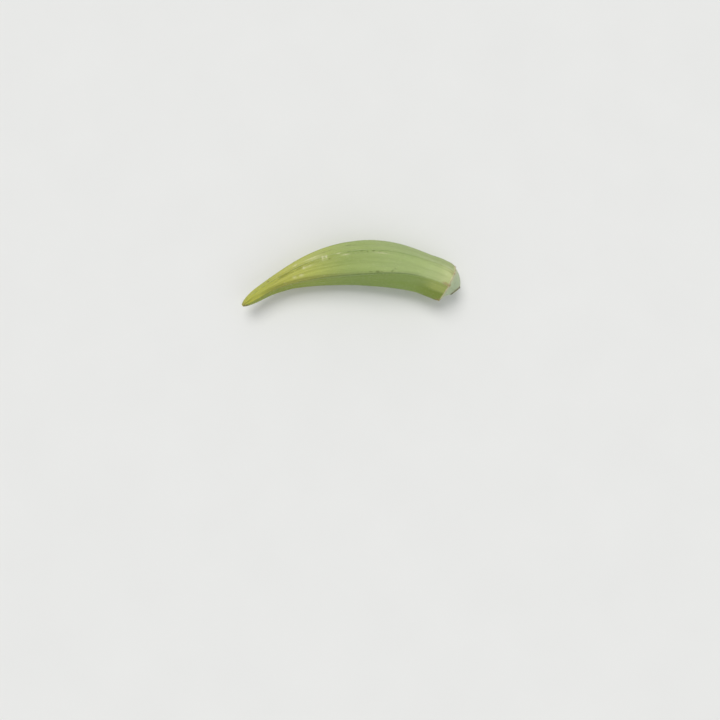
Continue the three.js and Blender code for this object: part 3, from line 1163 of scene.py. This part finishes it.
def shred_finish():
    finish = Finish(bpy.data.materials.new("dried calyx"))
    place = in_millimetres(finish)
    tip = detail(finish, "tip")
    colour = mix(step(grain(place, 0.9, 0.6, 2), 0.4, 0.62), SHRED_DARK, SHRED_PALE)
    colour = brighten(colour, 1.1 - 0.4 * tip)
    fibres = grain(place, 0.1, 0.6, 2)
    return surface(finish, {}, {"Base Color": colour, "Roughness": 0.7 + 0.2 * fibres}, fibres, 0.04)


shred_mesh.materials.append(shred_finish())
shreds = bpy.data.objects.new("calyx_shreds", shred_mesh)
bpy.context.scene.collection.objects.link(shreds)
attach(shreds, "root")

# %% [markdown]
# ## The studio
#
# The pod lies on a pale floor. A soft light comes from above and beyond it, so that the faces towards the
# camera's lower edge are in gentle shade. Both lights are suns: they light the floor evenly as far as one can
# see, and a wide angle makes a sun's shadow as soft as a large lamp's. The surroundings are as bright as the
# floor where they meet it, and darken upwards.

# %% Floor
FLOOR_WIDTH = 40.0
FLOOR_GRAIN = 30.0
FLOOR_COLOURS = ((0.8, 0.8, 0.79), (0.83, 0.83, 0.82))


def floor_finish():
    finish = Finish(bpy.data.materials.new("floor"))
    place = finish.add("ShaderNodeTexCoord", output="Object")
    clouds = finish.add("ShaderNodeTexNoise", sockets={"Vector": place, "Scale": FLOOR_GRAIN})
    colour = mix(clouds, *FLOOR_COLOURS)
    return surface(finish, {"Roughness": 0.9, "Specular IOR Level": 0.1}, {"Base Color": colour})


def wide_plane(shape):
    bmesh.ops.create_grid(shape, x_segments=1, y_segments=1, size=FLOOR_WIDTH / 2)


floor = bpy.data.objects.new("floor", small_mesh("floor", wide_plane))
floor.data.materials.append(floor_finish())
bpy.context.scene.collection.objects.link(floor)

# %% Lights
def soft_sun(name, come_from, strength, wide, colour):
    lamp = bpy.data.lights.new(name, "SUN")
    lamp.energy = strength
    lamp.angle = math.radians(wide)
    lamp.color = colour
    light = bpy.data.objects.new(name, lamp)
    light.location = come_from
    light.rotation_euler = (-Vector(come_from)).to_track_quat("-Z", "Y").to_euler()
    bpy.context.scene.collection.objects.link(light)


soft_sun("key", come_from=(-0.15, 0.42, 0.9), strength=1.5, wide=39, colour=(1.0, 0.985, 0.95))
soft_sun("fill", come_from=(0.5, -0.6, 0.6), strength=0.38, wide=49, colour=(0.95, 0.98, 1.0))

# %% Surroundings
WORLD_STOPS = [
    (0.0, (0.785, 0.79, 0.78)),
    (0.06, (0.735, 0.74, 0.74)),
    (0.5, (0.47, 0.48, 0.49)),
]


def pale_room():
    finish = Finish(bpy.data.worlds.new("pale room"))
    direction = finish.add("ShaderNodeTexCoord", output="Object")
    upwards = finish.add("ShaderNodeSeparateXYZ", sockets={"Vector": direction}, output="Z")
    colour = finish.add("ShaderNodeValToRGB", {"stops": WORLD_STOPS}, {0: upwards})
    background = finish.add("ShaderNodeBackground", sockets={"Color": colour, "Strength": 1.0})
    return finish.end(background, "ShaderNodeOutputWorld")


bpy.context.scene.world = pale_room()
bpy.context.scene.view_settings.view_transform = "Standard"

# %% Camera
CAMERA_AIM = Vector((0.0043, -0.0427, 0.010))
CAMERA_ELEVATION = math.radians(84.4)
CAMERA_DISTANCE = 0.38
CAMERA_ANGLE = math.radians(49.4)

lens = bpy.data.cameras.new("camera")
lens.sensor_width = 36
lens.lens = lens.sensor_width / 2 / math.tan(CAMERA_ANGLE / 2)
lens.clip_start = 0.01
camera = bpy.data.objects.new("camera", lens)
looking = Vector((0, math.cos(CAMERA_ELEVATION), -math.sin(CAMERA_ELEVATION)))
camera.location = CAMERA_AIM - looking * CAMERA_DISTANCE
camera.rotation_euler = (math.pi / 2 - CAMERA_ELEVATION, 0, 0)
bpy.context.scene.collection.objects.link(camera)
bpy.context.scene.camera = camera
